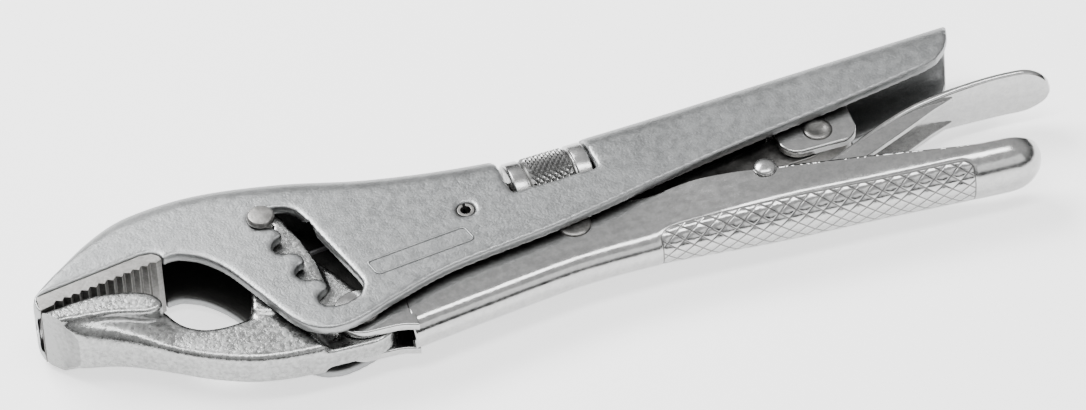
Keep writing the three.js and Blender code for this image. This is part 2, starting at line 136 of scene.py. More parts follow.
def ringFaces(rings, around, closed=False):  # the quads between rings of points
    return [[r * around + i, r * around + (i + 1) % around, (r + 1) % rings * around + (i + 1) % around,
             (r + 1) % rings * around + i]
            for r in range(rings if closed else rings - 1) for i in range(around)]


def shadeSmooth(piece):
    piece.data.polygons.foreach_set("use_smooth", [True] * len(piece.data.polygons))
    return piece


def faceOut(piece, merge=True):
    shape = bmesh.new()
    shape.from_mesh(piece.data)
    if merge:
        bmesh.ops.remove_doubles(shape, verts=shape.verts, dist=1e-7)
    bmesh.ops.recalc_face_normals(shape, faces=shape.faces)
    shape.to_mesh(piece.data)
    shape.free()
    return piece


def settle(piece):  # the modifiers become the mesh
    evaluated = piece.evaluated_get(bpy.context.evaluated_depsgraph_get())
    mesh = bpy.data.meshes.new_from_object(evaluated)
    piece.modifiers.clear()
    old = piece.data
    piece.data = mesh
    bpy.data.meshes.remove(old)
    return piece


def bevelled(piece, width, segments=3, angle=40):
    edge = piece.modifiers.new("edge", "BEVEL")
    edge.width = width / 1000
    edge.segments = segments
    edge.limit_method = "ANGLE"
    edge.angle_limit = math.radians(angle)
    edge.use_clamp_overlap = False
    return piece


def evenNormals(piece):
    piece.modifiers.new("normals", "WEIGHTED_NORMAL").keep_sharp = False
    return piece


def plate(name, outline, low, high, bevel=0.0, segments=3, angle=40):
    count = len(outline)
    vertices = [at(x, y, low) for x, y in outline] + [at(x, y, high) for x, y in outline]
    faces = [list(range(count))[::-1], [count + i for i in range(count)]]
    faces += [[i, (i + 1) % count, count + (i + 1) % count, count + i] for i in range(count)]
    piece = faceOut(newPiece(name, vertices, faces))
    if bevel:
        settle(bevelled(piece, bevel, segments, angle))
    return piece


def joined(name, pieces):  # one mesh out of several, kept apart inside it
    shape = bmesh.new()
    for piece in pieces:
        shape.from_mesh(piece.data)
    mesh = bpy.data.meshes.new(name)
    shape.to_mesh(mesh)
    shape.free()
    for piece in pieces:
        bpy.data.objects.remove(piece)
    result = bpy.data.objects.new(name, mesh)
    toScene(result)
    return result


def combine(target, tools, operation):
    for tool in tools:
        cut = target.modifiers.new("cut", "BOOLEAN")
        cut.operation = operation
        cut.object = tool
        cut.solver = "MANIFOLD"
    settle(target)
    for tool in tools:
        bpy.data.objects.remove(tool)
    return target


def lathe(name, profile, centre, sides=64, alongRod=False):  # profile of (radius, distance along the axis)
    rings = []
    for radius, distance in profile:
        ring = []
        for i in range(sides):
            angle = 2 * math.pi * i / sides
            a, b = radius * math.cos(angle), radius * math.sin(angle)
            ring.append(rodPoint(distance, a,
                                 b) if alongRod else at(centre[0] + a, centre[1] + b, distance))
        rings.append(ring)
    vertices = [v for ring in rings for v in ring]
    closed = profile[0][0] > 0 and profile[0] == profile[-1]
    faces = ringFaces(len(rings), sides, closed)
    return shadeSmooth(faceOut(newPiece(name, vertices, faces)))


def rodPlace(distance, up):  # a place beside the tilted rod, in the drawing
    c, s = math.cos(rodTilt), math.sin(rodTilt)
    return nutCentre[0] + distance * c - up * s, nutCentre[1] + distance * s + up * c


def rodPoint(distance, up, across):
    return at(*rodPlace(distance, up), across)


def roundedProfile(points, radius, steps=3):  # the corners of a turned profile, rounded off
    out = []
    for i, p in enumerate(points):
        if i in (0, len(points) - 1):
            out.append(p)
            continue
        a, b, c = (np.array(q, float) for q in (points[i - 1], p, points[i + 1]))
        inward, outward = a - b, c - b
        reach = min(radius, 0.45 * np.linalg.norm(inward), 0.45 * np.linalg.norm(outward))
        start = b + inward / np.linalg.norm(inward) * reach
        end = b + outward / np.linalg.norm(outward) * reach
        for k in range(steps + 1):
            t = k / steps
            out.append(tuple((1 - t) ** 2 * start + 2 * t * (1 - t) * b + t * t * end))
    return out


def forged(piece, voxel, rounds, strength=0.5):  # an even skin, with its edges and inner corners softened
    skin = piece.modifiers.new("skin", "REMESH")
    skin.mode = "VOXEL"
    skin.voxel_size = voxel / 1000
    soft = piece.modifiers.new("soft", "SMOOTH")
    soft.factor = strength
    soft.iterations = rounds
    return shadeSmooth(settle(piece))


def mark(piece, name, values):  # one number for each vertex, for a material to read
    attribute = piece.data.attributes.new(name, "FLOAT", "POINT")
    attribute.data.foreach_set("value", np.asarray(values, np.float32))


def markVectors(piece, name, values):
    attribute = piece.data.attributes.new(name, "FLOAT_VECTOR", "POINT")
    attribute.data.foreach_set("vector", np.asarray(values, np.float32).ravel())


def readPoints(piece):  # vertex places and normals as arrays, in drawing millimetres
    count = len(piece.data.vertices)
    places, normals = np.empty(count * 3), np.empty(count * 3)
    piece.data.vertices.foreach_get("co", places)
    piece.data.vertex_normals.foreach_get("vector", normals)
    return places.reshape(-1, 3) * 1000 - np.array(shift), normals.reshape(-1, 3)


def markEdgeShading(piece, reach):  # how proud a vertex stands of its neighbours: painted highlight on proud edges, painted shade in hollow creases
    places, normals = readPoints(piece)
    count = len(piece.data.edges)
    pairs = np.empty(count * 2, np.int64)
    piece.data.edges.foreach_get("vertices", pairs)
    a, b = pairs.reshape(-1, 2).T
    proud, share = np.zeros(len(places)), np.zeros(len(places))
    for one, other in ((a, b), (b, a)):
        gap = places[other] - places[one]
        bend = -np.einsum("ij,ij->i", gap, normals[one]) / np.maximum(np.linalg.norm(gap, axis=1), 1e-6)
        np.add.at(proud, one, bend)
        np.add.at(share, one, 1)
    value = proud / np.maximum(share, 1)
    for _ in range(2):
        blur, share = value.copy(), np.ones(len(places))
        for one, other in ((a, b), (b, a)):
            np.add.at(blur, one, value[other])
            np.add.at(share, one, 1)
        value = blur / share
    mark(piece, "edgeShading", np.clip(value / reach, -1, 1))


def nodeTree(name, inputs):
    tree = bpy.data.node_groups.new(name, "GeometryNodeTree")
    tree.interface.new_socket("Geometry", in_out="INPUT", socket_type="NodeSocketGeometry")
    for label, kind, value in inputs:
        socket = tree.interface.new_socket(label, in_out="INPUT", socket_type=kind)
        if value is not None:
            socket.default_value = value
    tree.interface.new_socket("Geometry", in_out="OUTPUT", socket_type="NodeSocketGeometry")
    return tree


def addNode(tree, kind, settings=None, values=None):
    node = tree.nodes.new(kind)
    for key, value in (settings or {}).items():
        setattr(node, key, value)
    for key, value in (values or {}).items():
        if isinstance(value, bpy.types.NodeSocket):
            tree.links.new(value, node.inputs[key])
        else:
            node.inputs[key].default_value = value
    return node


def runTree(piece, tree, values):
    modifier = piece.modifiers.new("nodes", "NODES")
    modifier.node_group = tree
    names = {item.name: item.identifier for item in tree.interface.items_tree if item.in_out == "INPUT"}
    for label, value in values.items():
        modifier[names[label]] = value
    evaluated = piece.evaluated_get(bpy.context.evaluated_depsgraph_get())
    mesh = bpy.data.meshes.new_from_object(evaluated)
    result = bpy.data.objects.new(piece.name + "Made", mesh)
    name = piece.name
    piece.modifiers.clear()
    bpy.data.objects.remove(piece)
    result.name = name
    toScene(result)
    return result


def finishTree(tree, geometry, material):
    solid = addNode(tree, "GeometryNodeRealizeInstances", values={0: geometry})
    painted = addNode(tree, "GeometryNodeSetMaterial", values={0: solid.outputs[0], 2: material})
    out = tree.nodes.new("NodeGroupOutput")
    tree.links.new(painted.outputs[0], out.inputs[0])


class Maths:  # wraps a socket so that shader sums read as sums
    def __init__(self, shader, socket):
        self.shader = shader
        self.socket = socket

    def sum(self, operation, *others, clamp=False):
        values = {i: getattr(other, "socket", other) for i, other in enumerate((self, *others))}
        return self.shader.node("ShaderNodeMath", {"operation": operation, "use_clamp": clamp}, values)

    def __add__(self, other):
        return self.sum("ADD", other)

    def __sub__(self, other):
        return self.sum("SUBTRACT", other)

    def __mul__(self, other):
        return self.sum("MULTIPLY", other)

    def __rsub__(self, other):
        return self * -1.0 + other

    __radd__ = __add__
    __rmul__ = __mul__

    def ramp(self, low, high):
        return self.shader.node("ShaderNodeMapRange", {"interpolation_type": "SMOOTHSTEP"},
                                {0: self, 1: low, 2: high})


class Shader:  # one material under construction
    def __init__(self, name):
        self.material = bpy.data.materials.new(name)
        self.material.use_nodes = True
        self.tree = self.material.node_tree
        self.surface = self.tree.nodes["Principled BSDF"]
        self.place = self.tree.nodes.new("ShaderNodeTexCoord").outputs["Object"]

    def node(self, kind, settings=None, values=None, output=0):
        node = self.tree.nodes.new(kind)
        for key, value in (settings or {}).items():
            setattr(node, key, value)
        for key, value in (values or {}).items():
            value = getattr(value, "socket", value)
            if isinstance(value, bpy.types.NodeSocket):
                self.tree.links.new(value, node.inputs[key])
            else:
                node.inputs[key].default_value = value
        return Maths(self, node.outputs[output])

    def stretched(self, scale):
        return self.node("ShaderNodeMapping", values={"Vector": self.place, "Scale": scale})

    def noise(self, scale, detail=2.0, place=None):
        return self.node("ShaderNodeTexNoise", values={"Vector": place or self.place, "Scale": scale,
                                                       "Detail": detail})

    def attribute(self, name):
        return self.node("ShaderNodeAttribute", {"attribute_name": name}, output=2)

    def blend(self, amount, first, second):
        return self.node("ShaderNodeMix", {"data_type": "RGBA"},
                         {0: amount, 6: (*first, 1), 7: (*second, 1)}, output=2)

    def feed(self, label, value):
        value = getattr(value, "socket", value)
        if isinstance(value, bpy.types.NodeSocket):
            self.tree.links.new(value, self.surface.inputs[label])
        else:
            self.surface.inputs[label].default_value = value

    def bump(self, height, strength, distance):
        bumped = self.node("ShaderNodeBump", values={"Height": height, "Strength": strength,
                                                     "Distance": distance})
        self.feed("Normal", bumped)


finishes = {
    "blastedNickel": dict(light=(0.345, 0.352, 0.354), dark=(0.22, 0.226, 0.228), rough=(0.36, 0.48),
                          grain=1700.0,
                          grainDepth=0.00008, patch=24.0, mottle=420.0, cloud=0.3, scratch=0.1),
    "forgedNickel": dict(light=(0.43, 0.435, 0.43), dark=(0.22, 0.222, 0.22), rough=(0.2, 0.36),
                         grain=1300.0,
                         grainDepth=0.00007, patch=70.0, mottle=900.0, cloud=0.14, scratch=0.1),
    "polishedSheet": dict(light=(0.52, 0.52, 0.515), dark=(0.40, 0.40, 0.398), rough=(0.12, 0.22),
                          grain=1500.0,
                          grainDepth=0.00002, patch=20.0, mottle=500.0, cloud=0.16, scratch=0.5),
    "turnedBright": dict(light=(0.56, 0.56, 0.555), dark=(0.38, 0.38, 0.378), rough=(0.16, 0.3),
                         grain=2200.0,
                         grainDepth=0.00002, patch=90.0, mottle=500.0, cloud=0.3, scratch=0.2),
    "plainSteel": dict(light=(0.32, 0.315, 0.305), dark=(0.15, 0.147, 0.142), rough=(0.28, 0.45),
                       grain=1500.0,
                       grainDepth=0.00005, patch=130.0, mottle=420.0, cloud=0.4, scratch=0.3),
    "springSteel": dict(light=(0.22, 0.22, 0.225), dark=(0.11, 0.11, 0.115), rough=(0.3, 0.42),
                        grain=1800.0,
                        grainDepth=0.00003, patch=150.0, mottle=500.0, cloud=0.4, scratch=0.3), }


def metal(name, groove=None):  # cloudy patches, fine grain, draw marks, painted highlights on proud edges with painted shade in creases, painted shade on inside faces, knurl valleys and grooves, a darker ground face
    look = finishes[name]
    shader = Shader(name if groove is None else name + "Grooved")
    patches = shader.noise(look["patch"], 3.0).ramp(0.3, 0.7)
    mottle = shader.noise(look["mottle"], 3.0).ramp(0.3, 0.7)
    grain = shader.noise(look["grain"], 2.0)
    streaks = shader.noise(160.0, 4.0, shader.stretched((0.1, 3.0, 3.0)).socket).ramp(0.35, 0.7)
    edgeShading, inside = shader.attribute("edgeShading"), shader.attribute("inside")
    # The groove lines sink the bump and also darken the colour as painted shade.
    line = groove(shader) if groove else None
    shade = look["cloud"] * patches + (0.66 - look["cloud"]) * mottle + 0.34 * grain.ramp(0.3, 0.7)
    shade = shade * (1 - 0.35 * look["scratch"]) + 0.35 * look["scratch"] * streaks
    # Painted highlight on proud edges and painted shade in hollow creases, added to the colour.
    shade = (shade + 0.6 * edgeShading).sum("MULTIPLY", 1.0, clamp=True)
    # Painted shade: inside faces, knurl valleys and groove lines are blended towards near black; the jaw's
    # ground nose face uses the same blend as a real darker finish.
    paintedShadeAndGroundFace = inside if line is None else inside.sum("MAXIMUM", 0.85 * line)
    plated = shader.blend(shade, look["dark"], look["light"])
    shader.feed("Base Color", shader.node("ShaderNodeMix", {"data_type": "RGBA"},
                                          {0: paintedShadeAndGroundFace, 6: plated, 7: (0.06, 0.06, 0.058, 1)}, 2))
    low, high = look["rough"]
    rough = low + (high - low) * (0.5 * patches + 0.5 * mottle) + 0.06 * look["scratch"] * streaks
    shader.feed("Roughness", rough - 0.08 * edgeShading + 0.2 * paintedShadeAndGroundFace)
    shader.feed("Metallic", 1.0)
    height = grain + 0.5 * mottle + look["scratch"] * streaks
    if line:
        height = height - 5.0 * line
    shader.bump(height, 0.7, look["grainDepth"])
    return shader.material


diamond = dict(along=4.25, around=3.5, line=0.3)


def diamondLines(shader):  # crossing lines and a border, from the trough's unrolled places; they sink the bump and carry painted shade into the colour
    unfold = shader.node("ShaderNodeAttribute", {"attribute_name": "unfold"}, output=1)
    x, v, edge = (shader.node("ShaderNodeSeparateXYZ", values={0: unfold}, output=i) for i in range(3))
    across = diamond["along"] * diamond["around"] / math.hypot(diamond["along"], diamond["around"])

    def line(place):
        toLine = 0.5 - (place.sum("FRACT") - 0.5).sum("ABSOLUTE")
        return 1 - (toLine * across).ramp(0.0, diamond["line"])

    along, around = x * (1 / diamond["along"]), v * (1 / diamond["around"])
    grid = line(along + around).sum("MAXIMUM", line(along - around)) * edge.ramp(0.0, 0.1)
    border = (1 - edge.sum("ABSOLUTE").ramp(0.0,
                                            diamond["line"])) * x.ramp(10.0, 11.0)  # the ears carry none
    return grid.sum("MAXIMUM", border)


steel = {name: metal(name) for name in finishes}
steel["diamondSheet"] = metal("polishedSheet", diamondLines)
print("finishes made")


def place(piece, material, body, *replaced):
    piece.data.materials.clear()
    piece.data.materials.append(steel[material])
    if body:
        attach(piece, body)
    if replaced:
        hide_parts(*replaced)
    return piece


# The body shell is one sheet folded over a rounded back.
body = dict(half=9.0, sheet=3.0, steps=28, voxel=0.62, rounds=7, slotRadius=2.75, noseHigh=0.68,
            windowFront=-11.5, windowRear=10.3, windowDepth=6.2)
bendKnots = [(-121, 5.1), (-121.4, 9.2), (-118.6, 12.3), (-113, 16.3), (-104, 20.8), (-90, 24.7),
             (-76, 25.6),
             (-58, 22.9), (-38, 17.7), (-16, 14.4), (4, 13.5), (30, 15), (70, 18.6), (114, 22.5)]
insertLine = [(-121.4, 10), (-94.5, 15.2), (-91.6, 15), (-90, 13.6), (-89.5, 12.2)]
mouthLine = [(-89.5, 12.2), (-87.3, 12.6), (-84.5, 12), (-80, 9), (-75.5, 3.2), (-70, -7.6), (-65.4, -16.4),
             (-61, -20.6), (-56, -21.8), (-50, -20.7), (-40, -16.6), (-25, -11.6), (0, -7.2), (15, -3.8),
             (30, 0),
             (50, 4.6), (80, 10.6), (101, 15.2)]
tailLine = [(101, 15.2), (104.5, 16.6), (107.4, 19.2), (109.2, 22.2), (110.6, 26.6), (111.8, 31.4)]


def ringSolid(name, rings):  # a closed skin through rings with the same number of points
    count = len(rings[0])
    vertices = [v for ring in rings for v in ring]
    faces = ringFaces(len(rings), count)
    faces.append(list(range(count))[::-1])
    faces.append([(len(rings) - 1) * count + i for i in range(count)])
    return faceOut(newPiece(name, vertices, faces))


def bentBack():
    line = even(spline(bendKnots, 900), 1.1)
    rings = []
    for k, (x, y) in enumerate(line):
        tx, ty = tangent(line, k)
        height = body["noseHigh"] + (body["half"] - 0.05 - body["noseHigh"]) * smoothstep(x, -122, -92)
        inner = max(0.3, height - body["sheet"])
        thin = body["half"] - body["sheet"]
        angles = [math.pi * i / body["steps"] for i in range(body["steps"] + 1)]
        section = [(height * math.sin(t), body["half"] * math.cos(t)) for t in angles]
        section += [(-0.6, -body["half"]), (-0.6, -thin)]
        section += [(inner * math.sin(t), thin * math.cos(t)) for t in reversed(angles)]
        section += [(-0.6, thin), (-0.6, body["half"])]
        rings.append([at(x - ty * out, y + tx * out, z) for out, z in section])
    return ringSolid("bentBack", rings)


def slotOutline():
    points = []
    for n in range(4):
        cx, cy = jawPivot[0] + 2.93 * n, jawPivot[1] - 9.73 * n
        points += arc((cx, cy), body["slotRadius"], 90 if n == 0 else 100, 265, 14)
        if n < 3:
            points += arc((cx + 0.2, cy - 6), 3.2, 85, -10, 9)
    points += spline([(-53.5, -15.1), (-50.6, -14.5), (-48.4, -12.9), (-47.2, -10.6), (-47.3, -8.3)], 12)
    points += spline([(-54.8, 15), (-56, 17.6), (-58.2, 19.4), (-60.8, 20)], 10)
    return points


def makeBody():
    bend = [p for p in spline(bendKnots, 400) if p[0] < 108.9 and p[1] > 9.9]
    cheek = insertLine + spline(mouthLine, 260)[1:] + tailLine[1:4] + bend[::-1]
    half, sheet = body["half"], body["sheet"]
    shell = plate("bodyShell", cheek, half - sheet, half)
    combine(shell, [plate("farCheek", cheek, -half, sheet - half), bentBack()], "UNION")
    front, rear, deep = body["windowFront"], body["windowRear"], body["windowDepth"]
    window = [rodPlace(*corner) for corner in ((front, -deep), (rear, -deep), (rear, 14), (front, 14))]
    cuts = [plate("slotCut", slotOutline(), -through, through),
            plate("tailCut", tailLine[2:] + [(118, 33), (118, 18)], -through, through),
            plate("pinCut", arc(rollPin, 2.25, 0, 350, 35), -through, through),
            plate("windowCut", window, -through, through)]
    combine(shell, cuts, "DIFFERENCE")
    shell = forged(shell, body["voxel"], body["rounds"])
    # Painted shade: the shell's inner faces are darkened in colour, less so towards the channel's open rear
    # end.
    places, _ = readPoints(shell)
    bendX, bendY = zip(*spline(bendKnots[2:], 200))
    above = np.maximum(0, places[:, 1] - np.interp(places[:, 0], bendX, bendY))
    away = np.where(places[:, 0] < -100, 9, np.hypot(above, places[:, 2]))
    rearward = np.clip((places[:, 0] - 62) / 40, 0, 1)  # the channel's rear end is paler
    mark(shell, "inside", (1 - 0.6 * rearward) * (1 - np.clip((away - sheet * 2 - 0.15) / 0.9, 0, 1)))
    markEdgeShading(shell, 0.16)
    return shell


place(makeBody(), "blastedNickel", "body", "body_shell")
print("body shell made")

cheekFrame = dict(corners=[(-44.6, -4.4), (-43.2, -9.0), (-18.4, -5.3), (-19.8, -0.7)], round=1.1,
                  wide=0.62, high=0.3)


def roundedLoop(corners, radius, steps=6):
    out = []
    for i, p in enumerate(corners):
        a, b, c = (np.array(q, float) for q in (corners[i - 1], p, corners[(i + 1) % len(corners)]))
        start = b + (a - b) / np.linalg.norm(a - b) * radius
        end = b + (c - b) / np.linalg.norm(c - b) * radius
        for k in range(steps + 1):
            t = k / steps
            out.append(tuple((1 - t) ** 2 * start + 2 * t * (1 - t) * b + t * t * end))
    return out


def makeCheekFrame():
    loop = even(roundedLoop(cheekFrame["corners"], cheekFrame["round"]), 0.5, closed=True)
    rings = []
    for i, p in enumerate(loop):
        a, c = np.array(loop[i - 1]), np.array(loop[(i + 1) % len(loop)])
        along = (c - a) / np.linalg.norm(c - a)
        side = np.array((-along[1], along[0]))
        ring = []
        for k in range(9):
            t = math.pi * k / 8
            q = np.array(p) + side * cheekFrame["wide"] * 0.5 * math.cos(t)
            ring.append(at(q[0], q[1], 8.98 + cheekFrame["high"] * math.sin(t)))
        rings.append(ring)
    vertices = [v for ring in rings for v in ring]
    faces = ringFaces(len(rings), len(rings[0]), closed=True)
    return shadeSmooth(faceOut(newPiece("cheekFrame", vertices, faces)))


place(makeCheekFrame(), "blastedNickel", "body")

# The upper jaw insert is toothed across its full width.
insert = dict(teeth=12, front=-117.4, pitch=2.17, depth=1.1, bevel=0.14, half=8.95, tongueHalf=5.85)


def makeInsert():
    teeth = []
    for i in range(insert["teeth"]):
        x = insert["front"] + insert["pitch"] * i
        y = 6.1 + 0.2 * (x - insert["front"])
        teeth += [(x, y), (x + insert["pitch"] * 0.35, y + insert["depth"])]
    land = [(-120.95, 5.2)] + teeth + [(-91.3, 11.4), (-89.9, 12.1), (-90.2, 13.3), (-91.7, 14.6),
                                       (-94.5, 14.8),
                                      (-120.9, 9.6)]
    land = plate("upperInsert", land, -insert["half"], insert["half"], insert["bevel"], 2, 25)
    tongue = [(-117.5, 9), (-93, 13), (-91.5, 18.5), (-101, 17.8), (-111, 14.1), (-116.5, 11)]
    return evenNormals(shadeSmooth(joined("upperInsert", [
        land, plate("tongue", tongue, -insert["tongueHalf"], insert["tongueHalf"], 0.3)])))


place(makeInsert(), "plainSteel", "body", "upper_jaw_insert")
print("upper insert made")

# The lower jaw is one forging.
jaw = dict(eyeRadius=2.72, hingeRadius=2.62, hookHalf=1.1, padHalf=8.95, armHalf=4.7, tangHalf=5.6,
           lugHalf=2.7, voxel=0.5, rounds=9,
           noseFace=((-121.0, 5.15), (-112.9, -3.8)))
# The swept underside, read along X. Round is the corner's radius, and ridge the height of the side crease.
chin = dict(
    half=[(-120.6, 8.7), (-116, 8.6), (-112, 8.1), (-107, 7.3), (-102, 6.5), (-97, 5.6), (-92, 4.9),
          (-86, 4.7)],
    top=[(-120.6, 4.3), (-114, 4.6), (-106, 4.2), (-99, 2.2), (-95, -0.6), (-92, -4.4), (-89, -7.8),
         (-86, -9.6)],
    under=[(-120.6, 3.4), (-118.4, 1.2), (-115, -1.8), (-112.4, -3.4), (-108, -5.1), (-103.5, -7.1),
           (-98, -10.3),
           (-92, -14.2), (-86, -17.7)],
    round=[(-120.6, 1.2), (-117, 3.4), (-112, 4.6), (-106, 4.4), (-100, 3.4), (-94, 2.2), (-86, 1.9)],
    ridge=[(-120.6, 4.0), (-115, 1.2), (-110, -0.2), (-104, -1.2), (-98, -3.4), (-92, -8), (-86, -12.6)])


def makeChin():
    read = {name: reader(knots) for name, knots in chin.items()}
    rings = []
    for x in np.arange(-123.5, -85.9, 0.6):
        half, top, under, ridge = (read[name](x) for name in ("half", "top", "under", "ridge"))
        corner = min(read["round"](x), 0.8 * (top - under), half - 1)
        ridge = min(max(ridge, under + corner * 0.9), top - 0.05)
        side = [(half - 0.55, top), (half, ridge)]
        for i in range(9):
            t = math.pi / 2 * i / 8
            side.append((half - 0.35 - corner + corner * math.cos(t),
                         under + corner - corner * math.sin(t)))
        section = side + [(-z, y) for z, y in reversed(side)]
        rings.append([at(x, y, z) for z, y in section])
    return ringSolid("chin", rings)


def makeJaw():
    padTop = spline([(-123.5, 4.4), (-120.9, 4.85), (-117, 5.2), (-113, 5.8), (-109, 6.1), (-105, 5.9),
                     (-101, 5.1), (-97, 3.8),
                     (-94.6, 2.2), (-93.2, 0)], 48)
    padUnder = spline([(-93.2, 0), (-93.3, -1.6), (-94.6, -2.6), (-97, -2.9), (-100, -2.1), (-104, -0.9),
                       (-108, -0.3), (-112, 0.2), (-123.5, 1.2)], 36)[1:]
    armUnder = spline([(-98, -10.2), (-88, -16.6), (-78, -21.2), (-69.7, -23.1), (-62, -23.7)], 36)
    throat = [(-72, -2)] + spline([(-74.5, -8.2), (-80, -8.7), (-84.3, -8.3), (-86.8, -7.2), (-89.3, -5.3),
                                   (-91.1, -2.6), (-92.4, 0.6)], 30) + [(-98, 0)]
    arm = armUnder + arc(hingePivot, 12.3, 220, 143, 14) + [(-60, -3)] + throat
    tang = arc(jawPivot, 6, 200, -4, 24) + [(-56.3, 11.2), (-54.8, 3.2), (-54.4, -4.8), (-57, -7.6),
                                            (-61, -9),
                                           (-69, -9.2), (-73.6, -7.4), (-71.5, 0), (-70.3, 8)]
    lug = arc(hingePivot, 8.3, -90, 70, 24) + [(-48.6, -4.6), (-50.8, 0), (-53.6, 4.8), (-60, 4),
                                               (-66, -10),
                                              (-66, -23.4), (-60, -23.75)]
    pieces = [makeChin(), plate("arm", arm, -jaw["armHalf"], jaw["armHalf"], 1.9, 4, 45),
              plate("tang", tang, -jaw["tangHalf"], jaw["tangHalf"], 0.5),
              plate("lug", lug, -jaw["lugHalf"], jaw["lugHalf"], 0.3)]
    whole = plate("lowerJaw", padTop + padUnder, -jaw["padHalf"], jaw["padHalf"], 0.7, 3, 50)
    combine(whole, pieces, "UNION")
    cuts = [plate("eyeCut", arc(jawPivot, jaw["eyeRadius"], 0, 350, 35), -through, through),
            plate("hingeCut", arc(hingePivot, jaw["hingeRadius"], 0, 350, 35), -through, through),
            plate("hookCut", [(-62.4, 7), (-50, 4), (-50, 14), (-62.4, 12.4)], -jaw["hookHalf"],
                  jaw["hookHalf"])]
    combine(whole, cuts, "DIFFERENCE")
    whole = forged(whole, jaw["voxel"], jaw["rounds"])
    (ax, ay), (bx, by) = jaw["noseFace"]
    grind = plate("grind", [(ax - 0.3 * (bx - ax), ay - 0.3 * (by - ay)),
                            (bx + 0.4 * (bx - ax), by + 0.4 * (by - ay)),
                            (-126, by - 3.6), (-126, 7.9)], -through, through)
    combine(whole, [grind], "DIFFERENCE")
    shadeSmooth(whole).data.set_sharp_from_angle(angle=math.radians(38))
    places, _ = readPoints(whole)
    acrossFace = (places[:, 0] - ax) * (by - ay) - (places[:, 1] - ay) * (bx - ax)
    fromFace = np.abs(acrossFace) / math.hypot(bx - ax, by - ay)
    markEdgeShading(whole, 0.14)
    mark(whole, "inside", np.where(fromFace < 0.02, 0.4, 0.0))
    return whole


place(makeJaw(), "forgedNickel", "lower_jaw", "lower_jaw")
print("lower jaw made")

# The lower handle is a pressed trough with a diamond patch round its underside.
handle = dict(sheet=2.2, frontHalf=5.2, gripHalf=7.8, front=-38.6, round=110.0, tail=119.9, step=0.42,
              across=96,
              patchFront=24.4, patchRear=101.4, lineWide=0.9, lineDeep=0.15,
              reach=[(24, 4.6), (25.4, 6.5), (28, 7.6), (34, 8.1), (47, 8.6), (60, 8.6), (80, 8.1),
                     (97, 8.3), (100.2, 7.8),
                     (101.6, 6.2)])
handleTop = reader([(-40, -9.2), (-25, -6), (-6, -0.6), (6, 0.9), (16, -0.6), (24.8, -1.8), (36, -0.9),
                    (45, -1.9),
                    (56.7, -4.3), (79.4, -8.2), (99.3, -11.9), (108, -12.9), (121, -13)])
handleBottom = reader([(-40, -24.8), (-20, -21.5), (0, -18.4), (10, -17.5), (20, -17.2), (30, -17.3),
                       (52, -18.3),
                       (80, -19.1), (105, -20.2), (121, -20.4)])


def handleHalf(x):
    half = handle["frontHalf"] + (handle["gripHalf"] - handle["frontHalf"]) * smoothstep(x, 16, 62)
    t = max(0.0, (x - handle["round"]) / (handle["tail"] - handle["round"]))
    return half * math.sqrt(max(0.0, 1 - t * t))


def handleFloor(x):
    start = handle["round"] + 2
    t = max(0.0, (x - start) / (handle["tail"] - start))
    return -13.6 + (handleBottom(x) + 13.6) * math.sqrt(max(0.0, 1 - t * t))


def troughLine(half, floor, top,
               count):  # from one rim round the floor to the other, evenly, and its length
    bend = min(0.92 * half, 0.95 * (top - floor))
    side = 0.92 * half
    path = [(half, top)]
    for i in range(25):
        a = math.pi / 2 * i / 24
        path.append((half - side + side * math.cos(a), floor + bend - bend * math.sin(a)))
    return evenCount(path + [(-z, y) for z, y in reversed(path)], count)


def evenCount(path, count):
    path = np.array(path, float)
    lengths = np.concatenate([[0], np.cumsum(np.linalg.norm(np.diff(path, axis=0), axis=1))])
    marks = np.linspace(0, lengths[-1], count)
    return [(float(np.interp(m, lengths, path[:, 0])),
             float(np.interp(m, lengths, path[:, 1]))) for m in marks], \
        lengths[-1]


def handleStations():
    xs = list(np.arange(handle["front"], handle["round"], handle["step"]))
    xs += [handle["round"] + (handle["tail"] - 0.03 - handle["round"]) * (i / 30) ** 0.6 for i in range(31)]
    return xs


patchReach = reader(handle["reach"])


def patchEdge(x, v):  # how far inside the patch a point lies, in millimetres
    return min(x - handle["patchFront"], handle["patchRear"] - x, patchReach(x) - abs(v))


def rimArc(x, top, rim, half, thin, side):  # the sheet's edge, rounded from its outer wall to its inner one
    out = []
    for k in range(1, 4):
        a = math.pi / 2 * k / 4
        out.append((x, top - rim + rim * math.sin(a), side * (half - rim + rim * math.cos(a))))
    for k in range(0, 4):
        a = math.pi / 2 * k / 4
        out.append((x, top - rim + rim * math.cos(a), side * (thin + rim - rim * math.sin(a))))
    return out


